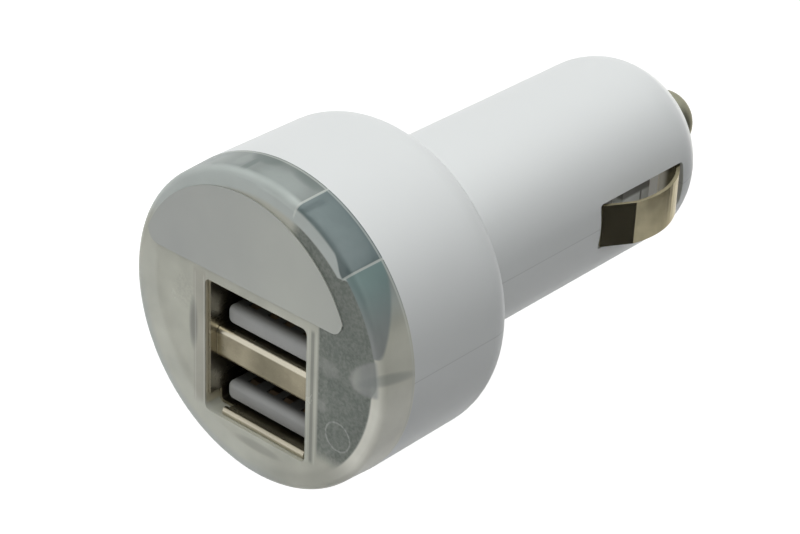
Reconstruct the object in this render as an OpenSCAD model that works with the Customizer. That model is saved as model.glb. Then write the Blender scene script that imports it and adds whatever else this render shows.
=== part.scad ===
// Two-port vehicle power plug: a split barrel with a round head, a clear front cap,
// a sprung tip contact and two side contact clips.
// The origin is on the plug's axis at the shoulder, where the head meets the barrel.
// +Y runs along the barrel to the tip, the ports face -Y and +Z is up.

/* [Barrel] */
// Radius of the barrel that enters the socket
barrel_r = 10.4; // [10:0.05:10.6]
// Length of the barrel from the shoulder to the nose
barrel_len = 40.6; // [39:0.1:44]
// Radius of the rounded nose
nose_round = 7.5; // [5.5:0.1:8]
// Wall of the barrel
barrel_wall = 1.6; // [1.2:0.05:1.8]

/* [Head] */
// Radius of the head where it meets the clear cap
head_r = 16.28; // [15.8:0.02:18]
// Length of the white part of the head
head_len = 14.75; // [14.2:0.05:17]
// Radius of the rounded rear edge of the head
head_round = 3.5; // [2:0.1:4]
// Wall of the head
head_wall = 1.8; // [1.4:0.05:2]

/* [Clear cap] */
// Depth of the clear band round the front
cap_depth = 3.9; // [3.4:0.05:4.6]
// How much narrower the clear cap is at its front edge than the head
cap_taper = 0.18; // [0.1:0.02:0.6]
// Radius of the rounded front edge
cap_round = 0.7; // [0.4:0.1:0.8]
// Thickness of the clear front wall
cap_face_t = 1.5; // [1.1:0.05:1.8]
// Length of the spigot that enters the head
spigot_len = 3.2; // [2.4:0.1:4]
// Wall of the spigot
spigot_wall = 1.1; // [0.9:0.05:1.3]
// Angles between which the spigot is cut away on each side
cell_angles = [43, 71.5];
// Diameter of the round mark behind the front wall
mark_d = 3.2; // [2.4:0.1:3.6]

/* [Label] */
// Gap between the label's round edge and the cap's rounded edge
label_edge_gap = 0.05; // [0.02:0.01:0.5]
// How far the label's middle lies to the left of the axis
label_shift = 1.6; // [0:0.1:1.7]
// Height of the label's straight edge above the ports
label_rise = 1.16; // [1:0.02:3]
// Radius of the label's two corners
label_corner = 1.3; // [0.6:0.1:2]
// Thickness of the label
label_t = 0.12; // [0.08:0.01:0.2]

/* [Ports] */
// Width of the metal shell round both ports
shell_w = 13.1; // [12.8:0.05:13.5]
// Height of the metal shell
shell_h = 14.4; // [13.7:0.02:14.4]
// Depth of the metal shell
shell_d = 12.6; // [11.8:0.1:13.2]
// Thickness of the metal sheet
sheet_t = 0.3; // [0.25:0.01:0.35]
// Height of the shell's centre above the axis
shell_z = -4.25; // [-4.6:0.05:-4.15]
// How far the shell's mouth lies behind the front
mouth_setback = 0.4; // [0.2:0.05:0.8]
// Height of the folded bar between the ports
divider_h = 3.4; // [2.9:0.05:3.5]
// How far the folded bar's middle lies below the shell's middle
divider_drop = 0.15; // [0:0.05:0.3]
// How far the folded bar lies behind the shell's mouth
divider_setback = 0.8; // [0.6:0.05:1.2]
// Gap between each plastic tongue's side and the shell
tongue_side_gap = 0.7; // [0.5:0.05:0.9]
// Thickness of each plastic tongue
tongue_t = 1.9; // [1.7:0.02:2]
// Gap below each tongue
tongue_gap = 0.5; // [0.4:0.05:0.8]
// How far each tongue's end lies behind the front
tongue_setback = 2.2; // [2.1:0.05:2.4]
// Diameter of the rolled lower edge of the shell's mouth
roll_d = 0.7; // [0.5:0.05:0.8]
// Spacings of the four contacts from the middle
contact_x = [-3.5, -1, 1, 3.5];
// Width of each contact
contact_w = 1; // [0.8:0.05:1.2]
// Thickness of each contact
contact_t = 0.25; // [0.2:0.01:0.3]

/* [Circuit board] */
// Thickness of the board
board_t = 1.6; // [1.2:0.1:1.7]
// Gap between the board's edge and the wall of the head
board_side_gap = 1.82; // [1.5:0.02:3]
// Width of the board in the barrel
board_w = 13.6; // [12.6:0.1:14]

/* [Tip contact] */
// Radius of the sprung tip contact
tip_r = 3.65; // [3:0.05:3.8]
// How far the tip stands out of the nose
tip_reach = 6.5; // [5.5:0.1:7.5]
// Travel of the tip as it is pressed in
tip_travel = 2.2; // [1.5:0.1:2.4]
// Radius of the flange that keeps the tip in
flange_r = 4.5; // [4.2:0.05:4.8]
// Thickness of the flange
flange_t = 1.2; // [0.8:0.1:1.4]
// Wall of the hollow tip
tip_wall = 0.8; // [0.6:0.05:0.9]
// Radius of the spring's wire
wire_r = 0.22; // [0.18:0.01:0.26]
// Number of turns in the spring
spring_turns = 6; // [5:1:7]

/* [Side clips] */
// Distance from the slots to the end of the nose
slot_end_gap = 6.8; // [6.6:0.1:7.6]
// Length of each slot
slot_len = 13.9; // [13.6:0.1:14.2]
// Width of each slot
slot_w = 5.1; // [4.8:0.05:5.3]
// Thickness of the spring strip
strip_t = 0.4; // [0.3:0.02:0.45]
// Width of the spring strip
strip_w = 4.7; // [4:0.05:4.7]
// How far the strip's crown stands out of the barrel
clip_proud = 2.15; // [1.6:0.05:2.4]

/* [Hidden] */
$fn = 96;
// running clearance between pieces that move on each other
move_gap = 0.15;
// clearance between pieces that seat in each other
seat_gap = 0.1;
// how far a cutting shape runs past the face it cuts
cut_past = 1;

front_y = -head_len - cap_depth;
cap_front_r = head_r - cap_taper;
barrel_in_r = barrel_r - barrel_wall;
head_in_r = head_r - head_wall;
nose_in_y = barrel_len - barrel_wall;

shell_front = front_y + mouth_setback;
shell_back = shell_front + shell_d;
shell_top = shell_z + shell_h / 2;
shell_low = shell_z - shell_h / 2;
shell_round = 0.6;
// floors of the lower and the upper port
port_floor = [shell_low + sheet_t, shell_z - divider_drop + divider_h / 2];
tongue_front = front_y + tongue_setback;
tongue_w = shell_w - 2 * sheet_t - 2 * tongue_side_gap;
divider_front = shell_front + divider_setback;
cover_back = shell_back + 3.3;
contact_start = 1.1;
insulator_front = shell_back - 3.2;
insulator_back = shell_back - sheet_t;

shell_tab_y = [shell_front + 5.6, shell_back - 1.6];
// notches at the lower corners of the mouth, left and right
notch_w = [1.9, 0.5];
notch_depth = 1.5;
notch_h = 1.6;

window_gap = 0.05;
window_w = shell_w + 2 * window_gap;
window_h = shell_h + 2 * window_gap;
sleeve_wall = 0.8;
sleeve_len = 5.2;

spigot_r = head_in_r - seat_gap;
spigot_in_r = spigot_r - spigot_wall;
cap_seat_r = head_r - head_wall + seat_gap;
latch_w = 4;
latch_h = 0.35;
latch_y = -head_len + spigot_len - 0.8;
latch_r = 0.5;

board_z = shell_top + seat_gap;
board_top = board_z + board_t;
board_head_w = 2 * (sqrt(pow(head_in_r, 2) - pow(board_top, 2)) - board_side_gap);
board_front = front_y + 4.2;
board_step = -head_wall - 0.5;
// room behind the flange for the tip's travel and the end of its spring
board_end_gap = tip_travel + flange_t + 2.4;
board_back = nose_in_y - board_end_gap;

tip_end = barrel_len + tip_reach;
flange_front = nose_in_y - 0.35;
tip_bore_r = tip_r - tip_wall;
tip_bore_end = tip_end - tip_wall - 3;
seat_y = board_back;
spring_r = tip_bore_r - move_gap - wire_r;

slot_end = barrel_len - slot_end_gap;
slot_start = slot_end - slot_len;
clip_end_y = slot_start + 0.45;
clip_end_gap = 0.2;
slot_corner = 0.5;
crown_x = barrel_r + clip_proud;
arc_r = 10.4;
arc_x = crown_x - arc_r;
arc_y = slot_start + 6.7;
ridge_angle = -18;
clip_y = slot_end - clip_end_gap;
outer_bend = 0.8;
inner_bend = 0.3;
dip_angle = asin((clip_y - outer_bend - arc_y) / (arc_r - outer_bend));
leg_x = 7.7;
leg_end = board_back + 2.4;

pocket_x = 5.9;
pocket_wall = 1;
pocket_boss_r = 1.7;
pocket_boss_y = slot_start + 4.9;
// raised part of the pocket's wall, between the post and the bend of the clip
pocket_step_x = 8;
pocket_step_y = [pocket_boss_y + pocket_boss_r + 0.2, clip_y - 2.4];
pocket_top = board_z - 3 * seat_gap;

peg_r = 1;
peg_h = 1.7;
peg_boss_r = 1.7;
peg_at = [barrel_in_r - 1.9, slot_start - 5.4];
head_post_r = 2.2;
head_post_at = [head_in_r - head_post_r - 0.18, -head_len + 0.15];
head_post_h = 2;
rail_y = [2, peg_at[1] - peg_boss_r - 0.4];
rail_x = board_w / 2 - 0.1;
rail_t = 1.1;
top_rail_x = 4.2;

label_low = shell_top + label_rise;
label_r = cap_front_r - cap_round - label_shift - label_edge_gap;

core_r = 4.2;
core_h = 5.4;
core_y = slot_start + 6.6;
part_gap = 0.6;
// height of the solder under a flat-mounted part
solder_gap = 0.02;
lead_out = 1;
output_can_r = 2.5;
output_can_h = 7.5;
output_can_y = core_y - core_r - part_gap - output_can_r;
input_can_r = 4;
input_can_y = 3.2;
input_can_end = output_can_y - output_can_r - part_gap - lead_out;
chip_pitch = 3;
chip_row_y = board_front + 3.2;

// Points along an arc in the plane
function arc_points(centre, r, from, to, steps) =
    [for (i = [0:steps]) let (a = from + (to - from) * i / steps)
        [centre[0] + r * cos(a), centre[1] + r * sin(a)]];

// A path moved sideways by a distance, to its left for a positive one
function unit(v) = v / norm(v);
function heading(path, i) = unit(path[min(i + 1, len(path) - 1)] - path[max(i - 1, 0)]);
function beside(path, d) =
    [for (i = [0:len(path) - 1]) let (h = heading(path, i)) path[i] + d * [-h[1], h[0]]];
function reversed(path) = [for (i = [len(path) - 1:-1:0]) path[i]];

// Revolves a profile drawn as radius and distance along the plug
module turned() {
    rotate([-90, 0, 0])
        rotate_extrude()
            children();
}

// Extrudes a shape drawn in width and height along the plug
module along(from, to) {
    translate([0, to, 0])
        rotate([90, 0, 0])
            linear_extrude(to - from)
                children();
}

// Round bar along the plug
module rod(r, from, to) {
    translate([0, from, 0])
        rotate([-90, 0, 0])
            cylinder(r = r, h = to - from);
}

module rounded_rect(w, h, r) {
    square([w - 2 * r, h], center = true);
    square([w, h - 2 * r], center = true);
    for (sx = [-1, 1], sy = [-1, 1])
        translate([sx * (w / 2 - r), sy * (h / 2 - r)])
            circle(r);
}

// Half profile of a round body whose far edge is rounded
module rounded_profile(r, from, to, round_r) {
    intersection() {
        union() {
            translate([0, from])
                square([r - round_r, to - from]);
            translate([0, from])
                square([r, to - from - round_r]);
            translate([r - round_r, to - round_r])
                circle(round_r);
        }
        translate([0, from])
            square([r, to - from]);
    }
}

// Half space above or below the parting plane
module half_space(side) {
    reach = 2 * head_r;
    translate([-reach, front_y - cut_past, side > 0 ? 0 : -reach])
        cube([2 * reach, barrel_len - front_y + 2 * cut_past, reach]);
}

// Both halves of the housing as one closed shell, before it is parted
module housing_shell() {
    difference() {
        turned()
            union() {
                rounded_profile(head_r, -head_len, 0, head_round);
                rounded_profile(barrel_r, -head_round, barrel_len, nose_round);
            }
        turned()
            union() {
                rounded_profile(head_in_r, -head_len - cut_past, -head_wall, head_round - head_wall);
                rounded_profile(barrel_in_r, -head_round, nose_in_y, nose_round - barrel_wall);
            }
        rod(tip_r + move_gap, nose_in_y - cut_past, barrel_len + cut_past);
        for (side = [-1, 1])
            side_slot(side);
        latch_recesses();
    }
}

module side_slot(side) {
    depth = barrel_wall + 3;
    translate([side * (barrel_r - 1) - depth / 2, slot_start + slot_len / 2, 0])
        rotate([0, 90, 0])
            linear_extrude(depth)
                rounded_rect(slot_w, slot_len, slot_corner);
}

module latch_recesses() {
    for (side = [-1, 1])
        translate([0, latch_y, side * (head_in_r - seat_gap)])
            cube([latch_w + 2 * seat_gap, 2 * (latch_r + seat_gap), 2 * (latch_h + 2 * seat_gap)],
                center = true);
}

// A pair of posts on the parting plane, each tied to the wall behind it by a web
module wall_posts(at, r, low, high, wall_r) {
    intersection() {
        for (side = [0, 1])
            mirror([side, 0, 0])
                translate([at[0], at[1], low]) {
                    cylinder(r = r, h = high - low);
                    cube([wall_r, r, high - low]);
                }
        rod(wall_r, at[1] - r - cut_past, at[1] + r + cut_past);
    }
}

module pegs(r, low, high) {
    for (side = [-1, 1])
        translate([side * peg_at[0], peg_at[1], low])
            cylinder(r = r, h = high - low);
}

module upper_housing() {
    post_h = 2.4;
    color("#EDEFF0")
        difference() {
            union() {
                intersection() {
                    housing_shell();
                    half_space(1);
                }
                wall_posts(peg_at, peg_boss_r, 0, post_h, barrel_in_r + 0.2);
                for (side = [-1, 1])
                    top_rail(side);
            }
            pegs(peg_r + seat_gap, -cut_past, peg_h + seat_gap);
        }
}

// Rib of the upper half that presses on the board
module top_rail(side) {
    intersection() {
        translate([side * top_rail_x - rail_t / 2, rail_y[0], board_top + seat_gap])
            cube([rail_t, rail_y[1] - rail_y[0], barrel_in_r]);
        rod(barrel_in_r + 0.2, 0, barrel_len);
    }
}

// Rib of the lower half that carries the board's edge
module board_rail(side) {
    intersection() {
        translate([side * rail_x - rail_t / 2, rail_y[0], -barrel_in_r])
            cube([rail_t, rail_y[1] - rail_y[0], barrel_in_r + board_z - seat_gap]);
        rod(barrel_in_r + 0.2, 0, barrel_len);
    }
}

// Wall that keeps a side clip away from the circuit, with a round post and a raised part
module clip_pocket(side) {
    intersection() {
        mirror([side > 0 ? 0 : 1, 0, 0])
            union() {
                translate([pocket_x - pocket_wall, slot_start - 0.6, -barrel_in_r])
                    cube([pocket_wall, slot_len - 1.2, barrel_in_r + pocket_top]);
                translate([pocket_x - pocket_wall, pocket_step_y[0], -barrel_in_r])
                    cube([pocket_step_x - pocket_x + pocket_wall, pocket_step_y[1] - pocket_step_y[0],
                        barrel_in_r + pocket_top]);
                translate([pocket_x + 0.1, pocket_boss_y, -barrel_in_r])
                    cylinder(r = pocket_boss_r, h = barrel_in_r + pocket_top);
            }
        rod(barrel_in_r + 0.2, 0, barrel_len);
    }
}

module lower_housing() {
    color("#EDEFF0") {
        intersection() {
            housing_shell();
            half_space(-1);
        }
        wall_posts(head_post_at, head_post_r, -head_post_h, 0, head_in_r + 0.2);
        wall_posts(peg_at, peg_boss_r, -peg_boss_r, 0, barrel_in_r + 0.2);
        pegs(peg_r, -cut_past, peg_h);
        for (side = [-1, 1]) {
            board_rail(side);
            clip_pocket(side);
        }
    }
}

// Half profile of the clear cap's face, band and spigot
module cap_profile() {
    difference() {
        union() {
            polygon([[0, front_y], [cap_front_r - cap_round, front_y],
                [cap_front_r - cap_round, front_y + cap_round], [cap_front_r, front_y + cap_round],
                [head_r, -head_len], [0, -head_len]]);
            intersection() {
                translate([cap_front_r - cap_round, front_y + cap_round])
                    circle(cap_round);
                translate([cap_front_r - cap_round, front_y])
                    square(cap_round);
            }
        }
        translate([0, front_y + cap_face_t])
            square([cap_seat_r, cap_depth]);
    }
    translate([spigot_in_r, front_y + cap_face_t - seat_gap])
        square([spigot_wall, cap_depth + spigot_len - cap_face_t + seat_gap]);
}

// One missing sector of the spigot, between two radial webs
module spigot_cell() {
    reach = 2 * head_r;
    web = 3;
    difference() {
        turned()
            translate([spigot_in_r - cut_past, front_y + cap_face_t])
                square([cap_seat_r - spigot_in_r + cut_past, cap_depth + spigot_len]);
        rotate([0, -cell_angles[0] - web, 0])
            translate([-reach, front_y, -reach])
                cube([2 * reach, cap_depth + spigot_len + cut_past, reach]);
        rotate([0, -cell_angles[1] + web, 0])
            translate([-reach, front_y, 0])
                cube([2 * reach, cap_depth + spigot_len + cut_past, reach]);
    }
}

// Thin radial web behind the front wall, from inside the spigot to the band
module cap_web(angle) {
    web_t = 0.6;
    web_in_r = spigot_in_r - 0.8;
    rotate([0, -angle, 0])
        translate([web_in_r, front_y + cap_face_t - seat_gap, -web_t / 2])
            cube([cap_seat_r + seat_gap - web_in_r, cap_depth - cap_face_t + seat_gap, web_t]);
}

module clear_cap() {
    mark_at = [9.4, -7.2];
    mark_h = 0.2;
    color("#B9C2C2") {
        difference() {
            union() {
                turned()
                    cap_profile();
                for (side = [0, 1])
                    mirror([side, 0, 0])
                        for (angle = cell_angles)
                            cap_web(angle);
                for (side = [-1, 1])
                    translate([-latch_w / 2, latch_y, side * (spigot_r - latch_r + latch_h)])
                        rotate([0, 90, 0])
                            cylinder(r = latch_r, h = latch_w);
                translate([mark_at[0], 0, mark_at[1]])
                    rod(mark_d / 2, front_y + cap_face_t - seat_gap, front_y + cap_face_t + mark_h);
                translate([0, 0, shell_z])
                    along(front_y + cap_face_t - seat_gap, front_y + sleeve_len)
                        rounded_rect(window_w + 2 * sleeve_wall, window_h + 2 * sleeve_wall,
                            shell_round + sleeve_wall);
            }
            for (side = [0, 1])
                mirror([side, 0, 0])
                    spigot_cell();
            translate([0, 0, shell_z])
                along(front_y - cut_past, front_y + sleeve_len + cut_past)
                    rounded_rect(window_w, window_h, shell_round);
            cap_board_notch();
            post_notches();
        }
    }
}

// Clearance in the spigot and sleeve for the board's front edge
module cap_board_notch() {
    translate([-board_head_w / 2 - 2 * seat_gap, board_front - 2 * seat_gap, board_z - 2 * seat_gap])
        cube([board_head_w + 4 * seat_gap, 3 * spigot_len, board_t + 4 * seat_gap]);
}

// Clearance in the spigot for the round posts of the head
module post_notches() {
    notch_h = head_post_h + 4 * seat_gap;
    for (side = [0, 1])
        mirror([side, 0, 0])
            translate([head_post_at[0], head_post_at[1], -head_post_h - 2 * seat_gap]) {
                cylinder(r = head_post_r + 2 * seat_gap, h = notch_h);
                translate([0, -seat_gap / 2, 0])
                    cube([head_in_r, head_post_r + 2 * seat_gap, notch_h]);
            }
}

// Thin round-edged segment stuck on the cap's face
module face_label() {
    color("#A9ADAC")
        translate([-label_shift, 0, 0])
            along(front_y - label_t, front_y) {
                difference() {
                    circle(label_r);
                    translate([-2 * label_r, label_low - 4 * label_r])
                        square(4 * label_r);
                    for (side = [-1, 1])
                        label_corner_cut(side);
                }
                for (side = [-1, 1])
                    translate([side * label_corner_x(), label_low + label_corner])
                        circle(label_corner);
            }
}

// Distance from the middle to the centre of a rounded corner of the label
function label_corner_x() =
    sqrt(pow(label_r - label_corner, 2) - pow(label_low + label_corner, 2));

module label_corner_cut(side) {
    translate([side > 0 ? label_corner_x() : -label_corner_x() - label_r, 0])
        square([label_r, label_low + label_corner]);
}

module port_shell() {
    color("#A8A08C") {
        difference() {
            translate([0, 0, shell_z])
                along(shell_front, shell_back)
                    difference() {
                        rounded_rect(shell_w, shell_h, shell_round);
                        rounded_rect(shell_w - 2 * sheet_t, shell_h - 2 * sheet_t,
                            shell_round - sheet_t);
                    }
            for (side = [0, 1])
                translate([(side - 0.5) * shell_w, shell_front, shell_low])
                    cube(2 * [notch_w[side], notch_depth, notch_h], center = true);
        }
        for (side = [-1, 1], y = shell_tab_y)
            translate([side * (shell_w / 2 - sheet_t / 2), y, shell_z])
                shell_tab();
        rolled_edge();
    }
}

// Roll along the lower edge of the mouth, between the two corner notches
module rolled_edge() {
    roll_w = shell_w - notch_w[0] - notch_w[1];
    translate([notch_w[0] - shell_w / 2, shell_front + roll_d / 2, shell_low + roll_d / 2])
        rotate([0, 90, 0])
            cylinder(r = roll_d / 2, h = roll_w);
}

// Tab that passes up through the board
module shell_tab() {
    tab_w = 1.4;
    translate([-sheet_t / 2, -tab_w / 2, 0])
        cube([sheet_t, tab_w, board_top + 0.6 - shell_z]);
}

module shell_tab_holes() {
    hole_w = 1.7;
    for (side = [-1, 1], y = shell_tab_y)
        translate([side * (shell_w / 2 - sheet_t / 2), y, board_z])
            cube([sheet_t + 3 * seat_gap, hole_w, 4 * board_t], center = true);
}

// Folded strip between the ports, its round front edge towards the plug
module port_divider() {
    strip_in_w = shell_w - 2 * sheet_t - 2 * window_gap;
    bend_r = 0.7;
    depth = insulator_front - divider_front - seat_gap;
    color("#B0A894")
        translate([-strip_in_w / 2, divider_front, shell_z - divider_drop])
            rotate([90, 0, 90])
                linear_extrude(strip_in_w)
                    difference() {
                        folded_section(depth, divider_h, bend_r);
                        translate([sheet_t, 0])
                            folded_section(depth, divider_h - 2 * sheet_t, bend_r - sheet_t);
                    }
}

// Section with two rounded corners at its start and a square far end
module folded_section(depth, h, r) {
    translate([r, -h / 2])
        square([depth - r, h]);
    translate([0, -h / 2 + r])
        square([depth, h - 2 * r]);
    for (side = [-1, 1])
        translate([r, side * (h / 2 - r)])
            circle(r);
}

// Route of one contact, as distance along the plug and height
function contact_route(port, along_board) = let (top = port_floor[port] + tongue_gap + tongue_t)
    [[tongue_front + contact_start, top - contact_t], [tongue_front + contact_start + 0.5, top],
        [along_board, top], [along_board, board_top + 0.7]];

// Distance along the plug at which each port's contacts meet the board
function contact_rise(port) = port == 0 ? cover_back - 0.9 : shell_back + 0.9;

module contact(port, index) {
    route = contact_route(port, contact_rise(port));
    top = route[1][1];
    color("#C9B06A")
        translate([contact_x[index] - contact_w / 2, 0, 0])
            rotate([90, 0, 90])
                linear_extrude(contact_w)
                    polygon([route[0], route[1], [route[2][0] - contact_t, top],
                        [route[2][0] - contact_t, route[3][1]], route[3], [route[2][0], top - contact_t]]);
}

module port_insulator() {
    body_w = shell_w - 2 * sheet_t - 2 * seat_gap;
    body_h = shell_h - 2 * sheet_t - 2 * seat_gap;
    slot_gap = 0.05;
    color("#8F9294")
        difference() {
            union() {
                translate([0, 0, shell_z])
                    along(insulator_front, insulator_back)
                        square([body_w, body_h], center = true);
                for (port = [0, 1])
                    translate([0, 0, port_floor[port] + tongue_gap])
                        tongue();
            }
            for (port = [0, 1], x = contact_x)
                translate([x - contact_w / 2 - slot_gap, tongue_front + contact_start - 0.1,
                    port_floor[port] + tongue_gap + tongue_t - contact_t - slot_gap])
                    cube([contact_w + 2 * slot_gap, shell_d, contact_t + 2 * slot_gap]);
        }
}

// One tongue: round side edges, and a rounder upper front edge that leads the plug in
module tongue() {
    side_round = 0.5;
    lead_in = 0.8;
    intersection() {
        translate([0, 0, tongue_t / 2])
            along(tongue_front, insulator_back)
                rounded_rect(tongue_w, tongue_t, side_round);
        translate([-tongue_w / 2, tongue_front, 0])
            rotate([90, 0, 90])
                linear_extrude(tongue_w) {
                    translate([lead_in, 0])
                        square([shell_d, tongue_t]);
                    square([lead_in + seat_gap, tongue_t - lead_in]);
                    translate([lead_in, tongue_t - lead_in])
                        circle(lead_in);
                }
    }
}

// Folded cover behind the ports
module back_shield() {
    cover_w = shell_w + 2 * sheet_t + 2 * window_gap;
    depth = 4;
    back = cover_back;
    color("#A8A08C") {
        translate([-cover_w / 2, back - sheet_t, shell_low])
            cube([cover_w, sheet_t, shell_h]);
        for (side = [0, 1])
            mirror([side, 0, 0])
                translate([cover_w / 2 - sheet_t, back - depth, shell_low])
                    cube([sheet_t, depth, shell_h]);
    }
}

module contact_holes() {
    for (port = [0, 1], x = contact_x)
        translate([x, contact_rise(port) - contact_t / 2, board_z])
            cylinder(r = contact_w / 2 + 0.15, h = 4 * board_t, center = true);
}

module main_board() {
    color("#2F7A55")
        difference() {
            translate([0, 0, board_z])
                union() {
                    translate([-board_head_w / 2, board_front, 0])
                        cube([board_head_w, board_step - board_front, board_t]);
                    translate([-board_w / 2, board_step - cut_past, 0])
                        cube([board_w, board_back - board_step + cut_past, board_t]);
                }
            shell_tab_holes();
            contact_holes();
        }
}

// Round can lying under the board with two bent leads
module input_capacitor() {
    lead_r = 0.3;
    can_z = board_z - input_can_r - 0.2;
    lead_y = input_can_end + lead_out;
    color("#2B2F38") {
        translate([0, 0, can_z])
            rod(input_can_r, input_can_y, input_can_end);
        for (side = [-1, 1]) {
            translate([side * input_can_r / 2, 0, can_z])
                rod(lead_r, input_can_end - lead_out, lead_y);
            translate([side * input_can_r / 2, lead_y - lead_r, can_z - lead_r])
                cylinder(r = lead_r, h = board_z - can_z + lead_r - seat_gap / 2);
        }
    }
}

// Upright can under the middle of the board
module output_capacitor() {
    color("#2B2F38")
        translate([0, output_can_y, board_z - output_can_h - seat_gap / 2])
            cylinder(r = output_can_r, h = output_can_h);
}

// Drum core that hangs under the board
module choke_core() {
    rim_h = 1;
    color("#3A3A3C")
        translate([0, core_y, board_z - core_h - seat_gap / 2])
            rotate_extrude()
                polygon([[0, 0], [core_r, 0], [core_r, rim_h], [core_r / 2, rim_h],
                    [core_r / 2, core_h - rim_h], [core_r, core_h - rim_h], [core_r, core_h], [0, core_h]]);
}

// Wound copper in the drum's groove, its outside ridged by the turns
module choke_winding() {
    rim_h = 1;
    layers = 8;
    turn_r = (core_h - 2 * rim_h - 2 * seat_gap) / layers / 2;
    color("#B5652B")
        translate([0, core_y, board_z - core_h - seat_gap / 2 + rim_h + seat_gap])
            rotate_extrude() {
                translate([core_r / 2 + seat_gap, 0])
                    square([core_r / 2 - 0.5 - turn_r, 2 * turn_r * layers]);
                for (i = [0:layers - 1])
                    translate([core_r - 0.5 - turn_r + seat_gap, (2 * i + 1) * turn_r])
                        circle(turn_r, $fn = 24);
            }
}

module converter_chip() {
    chip = [3.9, 4.9, 1.4];
    leg_w = 0.4;
    leg_pitch = 1.27;
    leg_out = 1;
    chip_y = input_can_y + 1.8;
    color("#26282B") {
        translate([-chip[0] / 2, chip_y, board_top + 0.15])
            cube(chip);
        for (side = [-1, 1], i = [0:3])
            translate([side > 0 ? chip[0] / 2 - 0.1 : -chip[0] / 2 - leg_out + 0.1,
                chip_y + chip[1] / 2 + (i - 1.5) * leg_pitch - leg_w / 2, board_top + solder_gap])
                cube([leg_out, leg_w, 0.5]);
    }
}

module rectifier_diode() {
    body = [4.4, 2.7, 2.1];
    ends = [5.4, 1.5, 0.4];
    diode_y = peg_at[1] + peg_boss_r + 3.2;
    color("#26282B") {
        translate([-body[0] / 2, diode_y - body[1] / 2, board_top + 0.1])
            cube(body);
        translate([-ends[0] / 2, diode_y - ends[1] / 2, board_top + solder_gap])
            cube(ends);
    }
}

// Row of small surface parts on top of the board
module chip_resistors() {
    chip = [2, 1.2, 0.5];
    color("#1F2022")
        for (i = [-2.5:1:2.5])
            translate([i * chip_pitch - chip[0] / 2, chip_row_y, board_top + solder_gap])
                cube(chip);
}

// Small lamp at the front edge of the board
module status_lamp() {
    color("#D8E4E0")
        translate([-board_head_w / 2 + 2, board_front + 0.2, board_top + solder_gap]) {
            translate([-1.6, 0, 0])
                cube([3.2, 1.4, 1.2]);
            translate([0, 0, 0.6])
                rotate([90, 0, 0])
                    cylinder(r = 0.55, h = 0.5);
        }
}

// Bent plate at the board's end that backs the tip spring
module spring_seat() {
    plate_t = 0.4;
    plate_w = 5.6;
    foot = 2.2;
    color("#C9B06A") {
        translate([-plate_w / 2, seat_y - plate_t, -plate_w / 2])
            cube([plate_w, plate_t, plate_w / 2 + board_z - seat_gap / 2]);
        translate([-plate_w / 2, seat_y - foot, board_z - plate_t - seat_gap / 2])
            cube([plate_w, foot, plate_t]);
    }
}

// Points of one ring of the spring's wire at an angle along its helix
function wire_ring(turn, sides, pitch) =
    [for (i = [0:sides - 1]) let (a = 360 * i / sides, r = spring_r + wire_r * cos(a))
        [r * cos(360 * turn), seat_y + wire_r + seat_gap / 2 + pitch * turn + wire_r * sin(a),
            r * sin(360 * turn)]];

// Coil spring between the seat and the inside of the tip
module tip_spring() {
    sides = 6;
    steps = spring_turns * 20;
    pitch = (tip_bore_end - seat_y - 2 * wire_r - seat_gap) / spring_turns;
    rings = [for (k = [0:steps]) wire_ring(k * spring_turns / steps, sides, pitch)];
    skin = [for (k = [0:steps - 1], i = [0:sides - 1]) let (a = k * sides, j = (i + 1) % sides)
        [a + i, a + sides + i, a + sides + j, a + j]];
    ends = [[for (i = [0:sides - 1]) i], [for (i = [sides - 1:-1:0]) steps * sides + i]];
    color("#9C9C98")
        polyhedron(points = [for (ring = rings, p = ring) p], faces = concat(skin, ends));
}

// Hollow sprung contact with a rounded end and a flange behind the nose
module tip_contact() {
    edge_round = tip_r - 0.2;
    color("#9A9684")
        turned()
            difference() {
                union() {
                    rounded_profile(tip_r, flange_front - flange_t, tip_end, edge_round);
                    translate([0, flange_front - flange_t])
                        square([flange_r, flange_t]);
                }
                translate([0, flange_front - flange_t - cut_past])
                    square([tip_bore_r, tip_bore_end - flange_front + flange_t + cut_past]);
            }
}

// Path along the outside of a side clip, from its free end to its held end
function clip_path() = concat(
    [[barrel_r - 0.25, clip_end_y]],
    arc_points([arc_x, arc_y], arc_r, ridge_angle, dip_angle, 14),
    arc_points([arc_x, arc_y] + (arc_r - outer_bend) * [cos(dip_angle), sin(dip_angle)],
        outer_bend, dip_angle + 9, 90, 6),
    arc_points([leg_x + inner_bend, clip_y + inner_bend], inner_bend, 270, 180, 4),
    [[leg_x, leg_end]]);

module clip(side) {
    path = clip_path();
    color("#A39B82")
        mirror([side > 0 ? 0 : 1, 0, 0])
            translate([0, 0, -strip_w / 2])
                linear_extrude(strip_w)
                    polygon(concat(path, reversed(beside(path, strip_t))));
}

// Bent finger on the board that touches the held end of a side clip
module clip_finger(side) {
    finger_t = 0.2;
    finger_x = leg_x - strip_t - 0.25;
    foot_low = board_z - seat_gap / 2 - finger_t;
    color("#C9B06A")
        mirror([side > 0 ? 0 : 1, 0, 0]) {
            translate([board_w / 2 - 0.8, board_back - 1.7, foot_low])
                cube([0.8, 1.7 + leg_end - board_back, finger_t]);
            translate([finger_x - finger_t, leg_end - 0.8, 0.8])
                cube([finger_t, 0.8, foot_low + finger_t - 0.8]);
            translate([board_w / 2 - 0.8, leg_end - 0.8, foot_low])
                cube([finger_x - board_w / 2 + 0.8, 0.8, finger_t]);
        }
}

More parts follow.
